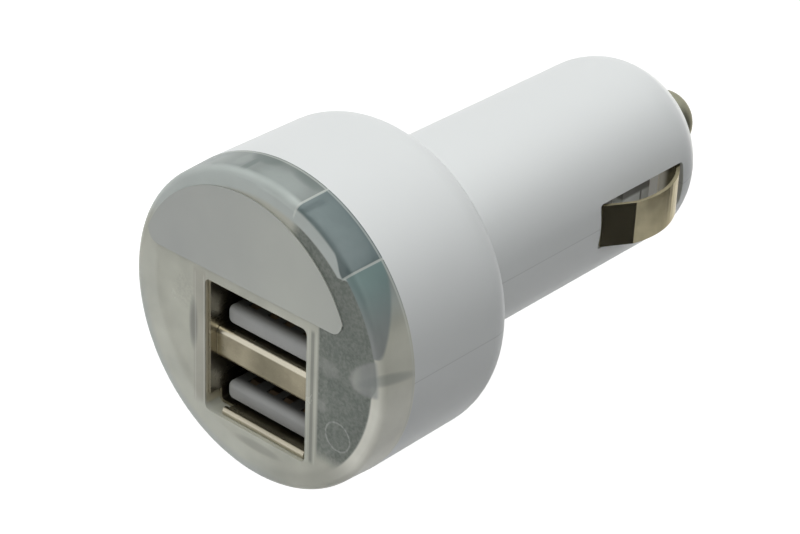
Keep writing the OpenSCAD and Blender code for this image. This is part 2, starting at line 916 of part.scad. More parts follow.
upper_housing();
lower_housing();
clear_cap();
face_label();
port_shell();
port_divider();
port_insulator();
back_shield();
contact(0, 0);  // lower_contact_1
contact(0, 1);  // lower_contact_2
contact(0, 2);  // lower_contact_3
contact(0, 3);  // lower_contact_4
contact(1, 0);  // upper_contact_1
contact(1, 1);  // upper_contact_2
contact(1, 2);  // upper_contact_3
contact(1, 3);  // upper_contact_4
main_board();
input_capacitor();
output_capacitor();
choke_core();
choke_winding();
converter_chip();
rectifier_diode();
chip_resistors();
status_lamp();
spring_seat();
tip_spring();
tip_contact();
clip(-1);  // left_clip
clip(1);  // right_clip
clip_finger(-1);  // left_clip_finger
clip_finger(1);  // right_clip_finger
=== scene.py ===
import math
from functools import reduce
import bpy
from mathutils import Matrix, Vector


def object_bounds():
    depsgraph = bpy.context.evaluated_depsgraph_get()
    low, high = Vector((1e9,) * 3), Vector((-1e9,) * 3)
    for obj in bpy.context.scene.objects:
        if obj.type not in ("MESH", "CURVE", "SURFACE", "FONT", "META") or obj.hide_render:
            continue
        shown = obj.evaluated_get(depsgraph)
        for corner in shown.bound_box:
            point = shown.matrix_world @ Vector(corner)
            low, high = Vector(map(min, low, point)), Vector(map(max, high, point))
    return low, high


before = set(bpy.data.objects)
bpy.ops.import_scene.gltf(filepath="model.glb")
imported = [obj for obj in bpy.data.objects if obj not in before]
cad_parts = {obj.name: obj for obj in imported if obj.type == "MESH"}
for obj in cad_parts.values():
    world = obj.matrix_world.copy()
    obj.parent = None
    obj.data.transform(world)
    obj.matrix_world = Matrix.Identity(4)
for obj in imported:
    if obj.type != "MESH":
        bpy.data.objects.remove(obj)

# %% [markdown]
# # A car charging plug with a clear front cap
# The plug is a white moulded housing with a round head, a barrel that goes into the car's
# socket, a sprung tip contact and two bowed side clips. Its head carries a frosted cap with
# two stacked charging ports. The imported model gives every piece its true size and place, so
# this lesson adds what a surface shows: finishes, small marks and the light.

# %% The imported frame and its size
from types import SimpleNamespace

import bmesh
import bpy
from mathutils import Matrix, Vector

MM = 0.001
packed_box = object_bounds()
print("packed box", packed_box)
print("nodes", len(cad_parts))

# %% [markdown]
# ## Where the cap and ports lie
# Marks on a finish have to sit on the piece that they belong to. Its mesh says where it starts
# and ends, so the cap's face and the sides of the port frame are measured here. Finer marks are
# placed by plain distances from the plug's origin, in millimetres.

# %% Spans of single pieces
def span_mm(name, axis):
    places = [vert.co["xyz".index(axis)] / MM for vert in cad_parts[name].data.vertices]
    return min(places), max(places)


cap_front = span_mm("clear_cap", "y")[0]
port_left, port_right = span_mm("port_shell", "x")
port_low, port_top = span_mm("port_shell", "z")
print("cap front", round(cap_front, 2), "port frame", round(port_right - port_left, 2), "mm wide")

# %% [markdown]
# ## The camera
# A camera is a place, a direction and a lens. All three were fitted to the photograph, so the
# ellipses of the head and barrel fall where they do there. The three axes are written as
# columns of a rotation, because that keeps the slight roll that a look-at rule would lose.

# %% Camera at the photograph's viewing angle
PHOTO_WIDTH = 800
FOCAL_PIXELS = 2404.4
SENSOR_MM = 36.0
CAMERA_PLACE = Vector((0.133117, -0.152959, 0.116291))
CAMERA_RIGHT = Vector((0.74232661, 0.66896347, 0.03793522))
CAMERA_UP = Vector((-0.35901053, 0.34930147, 0.86550559))
CAMERA_BACK = Vector((0.56574079, -0.65610698, 0.4994607))
NEAREST_SEEN = 0.005

scene = bpy.context.scene
camera_data = bpy.data.cameras.new("camera")
camera_data.sensor_width = SENSOR_MM
camera_data.lens = SENSOR_MM * FOCAL_PIXELS / PHOTO_WIDTH
camera_data.clip_start = NEAREST_SEEN
camera = bpy.data.objects.new("camera", camera_data)
camera_turn = Matrix((CAMERA_RIGHT, CAMERA_UP, CAMERA_BACK)).transposed().to_4x4()
camera.matrix_world = Matrix.Translation(CAMERA_PLACE) @ camera_turn
scene.collection.objects.link(camera)
scene.camera = camera
scene.view_settings.view_transform = "Standard"
print("lens", round(camera_data.lens, 2))

# %% [markdown]
# ## Shader maths as plain Python
# A material is a graph of nodes, and long graphs are hard to read. A small class wraps an
# output socket and overloads the operators, so `1 - mask` adds the Math node for it. One
# function adds any other kind of node: settings first, because some of them change the sockets.

# %% A socket that understands Python's operators
class Signal:
    def __init__(self, socket):
        self.socket = socket

    def node(self, kind, settings=None, sockets=None, out=0):
        return add_node(self.socket.id_data, kind, settings, sockets, out)

    def maths(self, operation, *values):
        return self.node("ShaderNodeMath", {"operation": operation}, dict(enumerate(values)))

    def __add__(self, other):
        return self.maths("ADD", self, other)

    def __radd__(self, other):
        return self.maths("ADD", other, self)

    def __sub__(self, other):
        return self.maths("SUBTRACT", self, other)

    def __rsub__(self, other):
        return self.maths("SUBTRACT", other, self)

    def __mul__(self, other):
        return self.maths("MULTIPLY", self, other)

    def __rmul__(self, other):
        return self.maths("MULTIPLY", other, self)

    def __truediv__(self, other):
        return self.maths("DIVIDE", self, other)

    def __rtruediv__(self, other):
        return self.maths("DIVIDE", other, self)

    def __pow__(self, other):
        return self.maths("POWER", self, other)

    def __rpow__(self, other):
        return self.maths("POWER", other, self)

    def __abs__(self):
        return self.maths("ABSOLUTE", self)

    def least(self, other):
        return self.maths("MINIMUM", self, other)

    def most(self, other):
        return self.maths("MAXIMUM", self, other)


def add_node(tree, kind, settings=None, sockets=None, out=0):
    node = tree.nodes.new(kind)
    for name, value in (settings or {}).items():
        setattr(node, name, value)
    for name, value in (sockets or {}).items():
        if isinstance(value, Signal):
            tree.links.new(value.socket, node.inputs[name])
        else:
            node.inputs[name].default_value = value
    return Signal(node.outputs[out])


print("signal operators ready")

# %% [markdown]
# ## Starting and ending a finish
# Every finish begins as an empty graph and ends at the material's output. In between it needs
# the place of a point on the object. Object coordinates are used throughout, in millimetres, so
# a pattern has the scale of the real thing and stays on its piece when that moves.

# %% An empty finish, places in millimetres and the output
WHITE = (1.0, 1.0, 1.0, 1.0)
NO_GLOW = (0.0, 0.0, 0.0)


def start_finish(name):
    finish = bpy.data.materials.new(name)
    finish.use_nodes = True
    finish.node_tree.nodes.clear()
    return finish, finish.node_tree


def place_mm(tree):
    spot = add_node(tree, "ShaderNodeTexCoord", out="Object")
    big = add_node(tree, "ShaderNodeVectorMath", {"operation": "SCALE"}, {0: spot, "Scale": 1 / MM})
    axes = [add_node(tree, "ShaderNodeSeparateXYZ", None, {0: big}, out=i) for i in range(3)]
    return big, axes


def end_finish(tree, shader, output="ShaderNodeOutputMaterial"):
    end = tree.nodes.new(output)
    tree.links.new(shader.socket, end.inputs["Surface"])


def dress(finish, *names):
    for name in names:
        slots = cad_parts[name].data.materials
        slots.clear()
        slots.append(finish)


print("finishes can start and end")

# %% [markdown]
# ## Masks
# A mask is 1 where a mark lies and 0 elsewhere. Real marks have soft edges, so each mask is
# built from smooth steps: one step is an edge, two make a strip, and a step on a distance makes
# a line or an oval. A step given its larger value first falls instead of rising.

# %% Soft steps, strips, lines and ovals
LINE_EDGE = (0.6, 1.4)


def step(signal, start, full):
    values = {"Value": signal, "From Min": start, "From Max": full, "To Min": 0.0, "To Max": 1.0}
    return signal.node("ShaderNodeMapRange", {"interpolation_type": "SMOOTHSTEP"}, values)


def between(signal, low, high, soft):
    return step(signal, low - soft, low + soft) * (1.0 - step(signal, high - soft, high + soft))


def line(distance, half_width):
    return 1.0 - step(abs(distance), *(half_width * edge for edge in LINE_EDGE))


def oval(across, up, place, half, soft):
    reach = ((across - place[0]) / half[0]) ** 2.0 + ((up - place[1]) / half[1]) ** 2.0
    return 1.0 - step(reach, 1.0 - soft, 1.0 + soft)


def strongest(*masks):
    return reduce(Signal.most, masks)


print("masks ready")

# %% [markdown]
# ## Noise, colour and relief
# Noise keeps a surface from being one flat tone. Colours are mixed by a mask, and `paint` lays
# one mark over another in the way a painter glazes. A layer is a mask, a share from 0 to 1 that
# says how strongly it covers, and a tone. Relief is a bump of a stated height in millimetres.

# %% Noises, mixes, layers and bumps
def noise(tree, spot, per_mm, detail=2.0, rough=0.5):
    values = {"Vector": spot, "Scale": per_mm, "Detail": detail, "Roughness": rough}
    return add_node(tree, "ShaderNodeTexNoise", None, values)


def tint(tree, amount, first, second):
    first, second = [(*tone, 1.0) if isinstance(tone, tuple) else tone for tone in (first, second)]
    return add_node(tree, "ShaderNodeMix", {"data_type": "RGBA"}, {0: amount, 6: first, 7: second}, out=2)


def paint(tree, colour, *layers):
    for mask, share, tone in layers:
        colour = tint(tree, mask * share, colour, tone)
    return colour


def bump(height, distance_mm, strength):
    values = {"Height": height, "Distance": distance_mm * MM, "Strength": strength}
    return height.node("ShaderNodeBump", None, values)


def surface(tree, **sockets):
    names = {key.replace("_", " ").title().replace("Ior", "IOR"): value for key, value in sockets.items()}
    return add_node(tree, "ShaderNodeBsdfPrincipled", None, names)


print("noise, colour and relief ready")

# %% [markdown]
# ## White housing
# The housing is a cool white plastic with a satin mould surface. A plain white would look like
# paper, so a fine grain bumps it, the gloss varies slightly, and a thin darker line marks where
# the two mouldings part. The walls that show through the side slots are greyer. They have a dark
# line and an upper part of painted shade, and a faint painted glow stands in for the light that
# reaches them, stronger towards the tip. A mask for the barrel's inside gives them tones of their own.

# %% White moulded plastic
WHITE_TONES = ((0.745, 0.772, 0.768), (0.775, 0.8, 0.795))
SEAM_EDGE = (0.02, 0.09)
SEAM_PAINT = (0.35, (0.42, 0.44, 0.43))
INSIDE_RADIUS = (9.9, 9.4)
INSIDE_START = (17.0, 18.0)
INSIDE_END = (41.0, 40.0)
POCKET_LINE = 29.75
POCKET_LINE_HALF = 0.14
POCKET_UPPER_PART = (-0.45, 0.0)
POCKET_SHADE_END = (34.0, 33.0)
POCKET_SHADE_RADIUS = (9.2, 9.0)
POCKET_PAINTED_SHADE = (0.85, (0.06, 0.06, 0.055))
PAINTED_WALL_GLOWS = ((0.02, 0.019, 0.017), (0.14, 0.135, 0.125))
BRIGHTER_GLOW_WALL = (34.0, 36.0)


def white_plastic():
    finish, tree = start_finish("white_housing")
    spot, (x, y, z) = place_mm(tree)
    cloud = noise(tree, spot, per_mm=0.12, detail=3.0)
    grain = noise(tree, spot, per_mm=9.0, rough=0.6)
    radius = (x * x + z * z) ** 0.5
    inside = step(radius, *INSIDE_RADIUS) * step(y, *INSIDE_START) * step(y, *INSIDE_END)
    seam = (1.0 - step(abs(z), *SEAM_EDGE)) * (1.0 - inside)
    # Painted shade: a dark line along the pocket and a darker upper part of the walls inside
    shade = strongest(line(y - POCKET_LINE, POCKET_LINE_HALF), step(z, *POCKET_UPPER_PART))
    shade = shade * step(y, *POCKET_SHADE_END) * step(radius, *POCKET_SHADE_RADIUS)
    colour = tint(tree, cloud, *WHITE_TONES)
    colour = paint(tree, colour, (seam, *SEAM_PAINT), (shade * inside, *POCKET_PAINTED_SHADE))
    # Painted light: the walls inside the barrel glow faintly, more towards the tip
    painted_wall_glow = tint(tree, step(y, *BRIGHTER_GLOW_WALL), *PAINTED_WALL_GLOWS)
    shader = surface(
        tree,
        base_color=colour,
        roughness=0.36 + cloud * 0.1,
        ior=1.5,
        emission_color=tint(tree, inside, NO_GLOW, painted_wall_glow),
        emission_strength=1.0,
        normal=bump(grain * 0.25 - seam, distance_mm=0.02, strength=0.3),
    )
    end_finish(tree, shader)
    return finish


dress(white_plastic(), "upper_housing", "lower_housing")
print("housing dressed")

# %% [markdown]
# ## Frosted clear cap: where a point lies
# The cap is round, so most of its marks are easiest to place by their distance from the axis,
# their angle round it and their depth behind the face. The angle is 0 at the right and 90 at
# the top. Three noises go with these places: a cloud, a fine stipple and a very broad one.

# %% Places and noises on the cap
BAND_START = (15.3, 15.6)
STIPPLE_STEP = (0.25, 0.75)
BROAD_STEP = (0.35, 0.65)
DEGREES = 180 / math.pi


def cap_places(tree):
    spot, (x, y, z) = place_mm(tree)
    radius = (x * x + z * z) ** 0.5
    return SimpleNamespace(
        spot=spot,
        x=x,
        y=y,
        z=z,
        radius=radius,
        angle=z.maths("ARCTAN2", z, x) * DEGREES,
        depth=y - cap_front,
        band=step(radius, *BAND_START),
        cloud=noise(tree, spot, per_mm=0.3, detail=3.0),
        stipple=step(noise(tree, spot, per_mm=3.4), *STIPPLE_STEP),
        broad=step(noise(tree, spot, per_mm=0.14), *BROAD_STEP),
    )


print("cap places ready")

# %% [markdown]
# ## Frosted clear cap: two dark cells
# Where the cap's edge is cut away, its wall is thin and the board shows dark and greenish
# through it. There are two such cells, and their tones are painted: partly the board's own green
# and partly painted shade of the dark inside. The upper one lies between two webs, and the lower
# one gets shallower downwards until it ends in a point. Their edges look soft, so masks in angle,
# radius and depth draw them.

# %% The two cells
WEB_ANGLES = (43.0, 71.5)
WEB_SOFT = 0.5
CELL_RADIUS = 14.7
CELL_STEP = 0.9
CELL_STEP_ANGLE = (44.0, 52.0)
CELL_SOFT = 0.15
LOW_CELL_ANGLES = (13.5, 42.8)
LOW_CELL_SOFT = 0.4
LOW_CELL_RADIUS = (15.0, 15.3)
LOW_CELL_DEPTH = 3.8
LOW_CELL_TOP = 42.7
LOW_CELL_SWEEP = 30.0
LOW_CELL_CURVE = 1.6
LOW_CELL_EDGE = (-0.2, 0.3)


def cut_cells(at):
    edge = CELL_RADIUS + step(at.angle, *CELL_STEP_ANGLE) * CELL_STEP
    cell = between(at.angle, *WEB_ANGLES, WEB_SOFT) * step(at.radius, edge - CELL_SOFT, edge + CELL_SOFT)
    sweep = ((LOW_CELL_TOP - at.angle) / LOW_CELL_SWEEP).most(0.0)
    reach = LOW_CELL_DEPTH - LOW_CELL_DEPTH * sweep ** LOW_CELL_CURVE
    low_cell = between(at.angle, *LOW_CELL_ANGLES, LOW_CELL_SOFT) * step(at.radius, *LOW_CELL_RADIUS)
    return cell, low_cell * step(reach - at.depth, *LOW_CELL_EDGE)


print("cells ready")

# %% [markdown]
# ## Frosted clear cap: the dark part of the face
# Beside the ports and above them no thick wall lies behind the face, so the dark inside shows
# through, and it is painted in as painted shade. The outer edge of that part steps inwards beside
# the upper cell and below the middle.

# %% The dark part of the face
FACE_RADIUS = 15.2
FACE_SOFT = 0.12
FACE_CELL_STEP = (41.0, 45.0)
FACE_LEVEL_STEP = (3.0, -3.0)
FACE_LEVEL_DROP = 0.6
BESIDE_PORT_LEFT = (7.9, 8.3)
BESIDE_PORT_TOP = (4.9, 4.5)
BESIDE_PORT_FOOT = (-10.6, -8.8)
ABOVE_PORT_FOOT = (3.9, 4.3)
ABOVE_PORT_END = (72.0, 66.0)


def dark_right_face(at):
    drop = FACE_LEVEL_DROP * step(at.angle, *FACE_LEVEL_STEP)
    outer = FACE_RADIUS - step(at.angle, *FACE_CELL_STEP) - drop
    beside_port = step(at.x, *BESIDE_PORT_LEFT) * step(at.z, *BESIDE_PORT_TOP)
    beside_port = beside_port * step(at.z, *BESIDE_PORT_FOOT)
    above_port = step(at.z, *ABOVE_PORT_FOOT) * step(at.angle, *ABOVE_PORT_END)
    return strongest(beside_port, above_port) * step(at.radius, outer + FACE_SOFT, outer - FACE_SOFT)


print("dark face ready")

# %% [markdown]
# ## Frosted clear cap: a blurred boss
# A boss behind the wall shows only as a blurred pale oval, lighter on its lit side as painted
# light and with a darker top as painted shade. Its real shape can't be seen, so it isn't cut in
# the solid. It is drawn along the two directions in which it is seen.

# %% The blurred boss
BOSS_ACROSS = (0.742, 0.669, 0.038)
BOSS_UP = (-0.359, 0.349, 0.866)
BOSS = {"place": (-0.8, -10.6), "half": (2.7, 1.7), "soft": 0.25}
BOSS_TOP = {"place": (-0.3, -10.5), "half": (2.4, 0.5), "soft": 0.8}
BOSS_TOP_LEAN = 0.2
BOSS_INNER_RADIUS = (11.0, 11.6)
BOSS_OUTER_RADIUS = (15.7, 15.1)
BOSS_LIT_SIDE = (-2.2, -3.2)


def seen_along(at, direction):
    return at.x * direction[0] + at.y * direction[1] + at.z * direction[2]


def boss_shapes(at):
    across = seen_along(at, BOSS_ACROSS)
    up = seen_along(at, BOSS_UP)
    in_wall = step(at.radius, *BOSS_INNER_RADIUS) * step(at.radius, *BOSS_OUTER_RADIUS)
    top = oval(across, up - across * BOSS_TOP_LEAN, **BOSS_TOP)
    return oval(across, up, **BOSS) * in_wall, top, step(across, *BOSS_LIT_SIDE)


print("boss ready")

# %% [markdown]
# ## Frosted clear cap: fine lines
# Edges of the moulding behind the face catch light as thin pale lines: the webs beside the
# cells, the sleeve round the ports, the back edge of the band and the round mark. Seen through
# frosted plastic they are blurred, which a solid's sharp edge isn't, so they are drawn as well.

# %% Webs, sleeve, band edge and round mark
WEB_RADIUS = (14.4, 14.8)
WEB_HALF = 0.4
MARK_PLACE = (10.7, -6.6)
MARK_RADIUS = 1.5
MARK_HALF = 0.09
MARK_SHARE = 0.7
SLEEVE_LINES = (port_right + 0.27, port_right + 1.25, port_left - 1.35, port_left - 0.2)
SLEEVE_HALF = 0.07
SLEEVE_SHARE = 0.5
SLEEVE_SPAN = (port_low + 0.45, port_top - 2.05)
SLEEVE_SOFT = 0.3
BAND_BACK = 3.7
BAND_BACK_HALF = 0.1
BAND_BACK_SHARE = 0.7


def sleeve_length(at):
    return between(at.z, *SLEEVE_SPAN, SLEEVE_SOFT)


def cap_lines(at):
    webs = strongest(*(line(at.angle - web, WEB_HALF) for web in WEB_ANGLES)) * step(at.radius, *WEB_RADIUS)
    from_mark = ((at.x - MARK_PLACE[0]) ** 2.0 + (at.z - MARK_PLACE[1]) ** 2.0) ** 0.5
    broken = 0.5 + at.stipple * 0.5
    ring = line(from_mark - MARK_RADIUS, MARK_HALF) * (1.0 - at.band) * broken
    sleeve = strongest(*(line(at.x - place, SLEEVE_HALF) for place in SLEEVE_LINES)) * sleeve_length(at)
    band_back = line(at.depth - BAND_BACK, BAND_BACK_HALF) * at.band
    return strongest(webs, ring * MARK_SHARE, sleeve * SLEEVE_SHARE, band_back * BAND_BACK_SHARE)


print("cap lines ready")

# %% [markdown]
# ## Frosted clear cap: its pale body
# The wall scatters light, and that light is painted into its colour: painted light makes it
# pale where it is thick and lit, lightest at the lower right and cool near the upper rim, and
# painted shade makes it grey at the foot. A small bright wedge at the top is a painted highlight.

# %% Pale wall
PALE_TONES = ((0.55, 0.56, 0.48), (0.73, 0.74, 0.635))
LOW_RIGHT_PAINTED_LIGHT_TONES = ((0.86, 0.86, 0.76), (0.96, 0.96, 0.86))
LOW_RIGHT_RADIUS = (14.2, 14.8)
LOW_RIGHT_UPPER = (25.0, 12.0)
LOW_RIGHT_LOWER = (-54.0, -34.0)
LOW_RIGHT_FADE = (-2.5, 3.0)
LOW_RIGHT_LOSS = 0.65
UPPER_RIM_RADIUS = (13.8, 14.4)
UPPER_RIM_FOOT = (6.0, 9.0)
UPPER_RIM_PAINT = (1.0, (0.67, 0.73, 0.7))
FOOT_RADIUS = (13.6, 14.6)
FOOT_RIGHT = (-30.0, -45.0)
FOOT_LEFT = (-100.0, -70.0)
FOOT_PAINTED_SHADE = (0.45, (0.38, 0.38, 0.33))
COOL_RIM_RADIUS = (14.4, 15.8)
COOL_RIM_TOP = (2.0, -5.0)
COOL_RIM_RIGHT = (5.0, 0.0)
COOL_RIM_PAINT = (0.7, (0.47, 0.52, 0.52))
WEDGE_RADIUS = (15.0, 15.3)
WEDGE_DEPTH = (1.3, 0.5)
WEDGE_RIGHT = (68.0, 74.0)
WEDGE_LEFT = (92.0, 84.0)
WEDGE_PAINTED_HIGHLIGHT = (1.0, (0.76, 0.83, 0.79))


def low_right_painted_light(at):
    part = step(at.angle, *LOW_RIGHT_UPPER) * step(at.angle, *LOW_RIGHT_LOWER)
    return step(at.radius, *LOW_RIGHT_RADIUS) * part * (1.0 - LOW_RIGHT_LOSS * step(at.z, *LOW_RIGHT_FADE))


def pale_wall(tree, at):
    upper_rim = step(at.radius, *UPPER_RIM_RADIUS) * step(at.z, *UPPER_RIM_FOOT)
    foot = step(at.radius, *FOOT_RADIUS) * step(at.angle, *FOOT_RIGHT) * step(at.angle, *FOOT_LEFT)
    cool_rim = step(at.radius, *COOL_RIM_RADIUS) * step(at.z, *COOL_RIM_TOP) * step(at.x, *COOL_RIM_RIGHT)
    wedge = step(at.depth, *WEDGE_DEPTH) * step(at.angle, *WEDGE_RIGHT) * step(at.angle, *WEDGE_LEFT)
    return paint(
        tree,
        tint(tree, at.cloud * 0.5 + at.broad * 0.5, *PALE_TONES),
        # Painted light at the lower right, painted shade at the foot, a painted highlight in the wedge
        (low_right_painted_light(at), 1.0, tint(tree, at.cloud, *LOW_RIGHT_PAINTED_LIGHT_TONES)),
        (upper_rim, *UPPER_RIM_PAINT),
        (foot, *FOOT_PAINTED_SHADE),
        (cool_rim, *COOL_RIM_PAINT),
        (wedge * step(at.radius, *WEDGE_RADIUS), *WEDGE_PAINTED_HIGHLIGHT),
    )


print("pale wall ready")

# %% [markdown]
# ## Frosted clear cap: the dark top band
# The band round the top is painted darker than the rest of the wall, as painted shade of the dark
# inside of the head that lies just behind it. It gets lighter towards the left.

# %% Dark top band
TOP_BAND_SHADE_TONES = ((0.19, 0.23, 0.215), (0.29, 0.32, 0.3))
TOP_BAND_LEFT_TONE = (0.4, 0.44, 0.42)
TOP_BAND_LEFT = (1.0, -7.0)
TOP_BAND_LEFT_SHARE = 0.7
TOP_BAND_FOOT = (5.0, 11.0)
TOP_BAND_DEPTH = (0.1, 0.9)


def top_band(tree, at):
    # Painted shade on the top band, lighter towards the left
    leftward = step(at.x, *TOP_BAND_LEFT) * TOP_BAND_LEFT_SHARE + at.broad * (1 - TOP_BAND_LEFT_SHARE)
    tone = tint(tree, leftward, tint(tree, at.cloud, *TOP_BAND_SHADE_TONES), TOP_BAND_LEFT_TONE)
    return at.band * step(at.z, *TOP_BAND_FOOT) * step(at.depth, *TOP_BAND_DEPTH), 1.0, tone


print("top band ready")

# %% [markdown]
# ## Frosted clear cap: cloudy marks on the band
# Small blurred marks keep the frosted wall from looking like paper. On the band they are light
# and dark clouds and one short dark rib. Each is an oval or a strip with a soft edge, placed by
# its angle and depth.

# %% Cloudy marks on the band
BAND_LIGHT = {"place": (83.0, 1.4), "half": (9.0, 1.5), "soft": 0.9}
LEFT_LIGHT = {"place": (103.0, 2.2), "half": (2.5, 1.2), "soft": 0.9}
LEFT_LIGHT_SHARE = 0.6
BAND_LIGHT_PAINT = (0.55, (0.46, 0.51, 0.49))
PATCH_CLOUD = (0.52, 0.62)
PATCH_ANGLE = (30.0, 60.0)
PATCH_DEPTH = (0.3, 1.0)
PATCH_PAINT = (0.5, (0.25, 0.3, 0.29))
BAND_DARK = {"place": (78.0, 3.6), "half": (7.0, 1.0), "soft": 0.8}
LEFT_DARK = {"place": (96.0, 3.4), "half": (6.0, 1.0), "soft": 0.8}
DARK_RIB_ANGLE = 98.2
DARK_RIB_HALF = 1.3
DARK_RIB_DEPTH = (0.7, 3.1)
DARK_RIB_SOFT = 0.4
BAND_DARK_PAINT = (0.6, (0.13, 0.17, 0.16))


def band_marks(at):
    left_light = oval(at.angle, at.depth, **LEFT_LIGHT) * LEFT_LIGHT_SHARE
    light = strongest(oval(at.angle, at.depth, **BAND_LIGHT), left_light)
    patches = step(at.cloud, *PATCH_CLOUD) * step(at.angle, *PATCH_ANGLE) * step(at.depth, *PATCH_DEPTH)
    rib = line(at.angle - DARK_RIB_ANGLE, DARK_RIB_HALF) * between(at.depth, *DARK_RIB_DEPTH, DARK_RIB_SOFT)
    dark = strongest(oval(at.angle, at.depth, **BAND_DARK), oval(at.angle, at.depth, **LEFT_DARK), rib)
    return (
        (light * at.band, *BAND_LIGHT_PAINT),
        (patches * at.band, *PATCH_PAINT),
        (dark * at.band, *BAND_DARK_PAINT),
    )


print("band marks ready")

# %% [markdown]
# ## Frosted clear cap: cloudy marks beside the ports
# Two glints, painted highlights, lie right of the ports and some grains left of them. The port
# frame shows dimly through the wall at its left, with a dark smear along it and another below the
# ports. A line of painted shade runs beside the sleeve right of the ports. These marks are placed
# by their distance across and above the plug's axis.

# %% Cloudy marks beside the ports
GLINT = {"place": (9.4, 0.2), "half": (1.2, 0.9), "soft": 0.9}
LOW_GLINT = {"place": (8.6, -4.1), "half": (0.6, 0.7), "soft": 0.9}
GLINT_PAINTED_HIGHLIGHT = (0.5, (0.5, 0.52, 0.48))
GRAINS = {"place": (-9.3, 0.6), "half": (1.4, 1.9), "soft": 0.9}
GRAIN_PAINT = (0.35, (0.4, 0.4, 0.35))
FRAME_STRIP = (port_left - 1.55, port_left + 0.05)
FRAME_STRIP_SPAN = (port_low + 0.45, port_top - 1.65)
FRAME_STRIP_SOFT = (0.15, 0.4)
FRAME_STRIP_PAINT = (0.45, (0.42, 0.39, 0.33))
FRAME_WALL = (port_left - 0.25, port_left + 0.55)
FRAME_WALL_SPAN = (port_low + 0.45, port_top - 1.85)
FRAME_WALL_SOFT = (0.1, 0.2)
FRAME_WALL_DEPTH = (0.05, 0.25)
FRAME_WALL_PAINT = (1.0, (0.62, 0.57, 0.42))
SMEAR = {"place": (-8.15, -2.6), "half": (0.5, 2.4), "soft": 1.0}
LOW_SMEAR = {"place": (0.5, -12.6), "half": (2.6, 0.5), "soft": 0.8}
LOW_SMEAR_SHARE = 0.45
SMEAR_PAINT = (0.8, (0.22, 0.22, 0.2))
SLEEVE_SHADE = port_right + 0.8
SLEEVE_SHADE_HALF = 0.2
SLEEVE_PAINTED_SHADE = (0.6, (0.18, 0.19, 0.17))


def upright_bar(at, sides, span, soft):
    return between(at.x, *sides, soft[0]) * between(at.z, *span, soft[1])


def port_side_marks(at):
    strip = upright_bar(at, FRAME_STRIP, FRAME_STRIP_SPAN, FRAME_STRIP_SOFT)
    wall = upright_bar(at, FRAME_WALL, FRAME_WALL_SPAN, FRAME_WALL_SOFT)
    smear = strongest(oval(at.x, at.z, **SMEAR), oval(at.x, at.z, **LOW_SMEAR) * LOW_SMEAR_SHARE)
    # Painted shade: a dark line beside the sleeve
    sleeve_shade = line(at.x - SLEEVE_SHADE, SLEEVE_SHADE_HALF) * sleeve_length(at)
    return (
        (oval(at.x, at.z, **GRAINS) * at.stipple, *GRAIN_PAINT),
        (strip, *FRAME_STRIP_PAINT),
        (wall * step(at.depth, *FRAME_WALL_DEPTH), *FRAME_WALL_PAINT),
        (smear, *SMEAR_PAINT),
        (sleeve_shade, *SLEEVE_PAINTED_SHADE),
    )


print("port-side marks ready")

# %% [markdown]
# ## Frosted clear cap: the finish
# The cap lets light through but scatters it, so what lies behind shows softly. A mix of a rough
# clear plastic and a pale haze does that: the haze is what light scattered inside the wall
# sends back, and it is what makes the cap grey and not dark.

# %% Frosted clear plastic
DARK_FACE_SHADE_TONES = ((0.14, 0.17, 0.145), (0.36, 0.39, 0.345))
CELL_BOARD_AND_SHADE_TONES = ((0.13, 0.19, 0.195), (0.21, 0.27, 0.275))
LOW_CELL_BOARD_AND_SHADE_TONES = ((0.4, 0.43, 0.43), (0.24, 0.37, 0.36))
LOW_CELL_FADE = (16.0, 42.0)
LOW_CELL_SHARE = 0.9
BOSS_LIT_AND_SHADED_TONES = ((0.42, 0.44, 0.42), (0.56, 0.57, 0.53))
BOSS_SHARE = 0.85
BOSS_TOP_PAINTED_SHADE = (0.45, (0.26, 0.3, 0.28))
LINE_PAINT = (0.6, (0.72, 0.75, 0.7))
CLEAR_TONE = (0.9, 0.94, 0.93, 1.0)
HAZE_SHARE = 0.72
HAZE_VARIES = 0.14
HAZE_DARK_LOSS = 0.12
HAZE_LIGHT_GAIN = 0.14


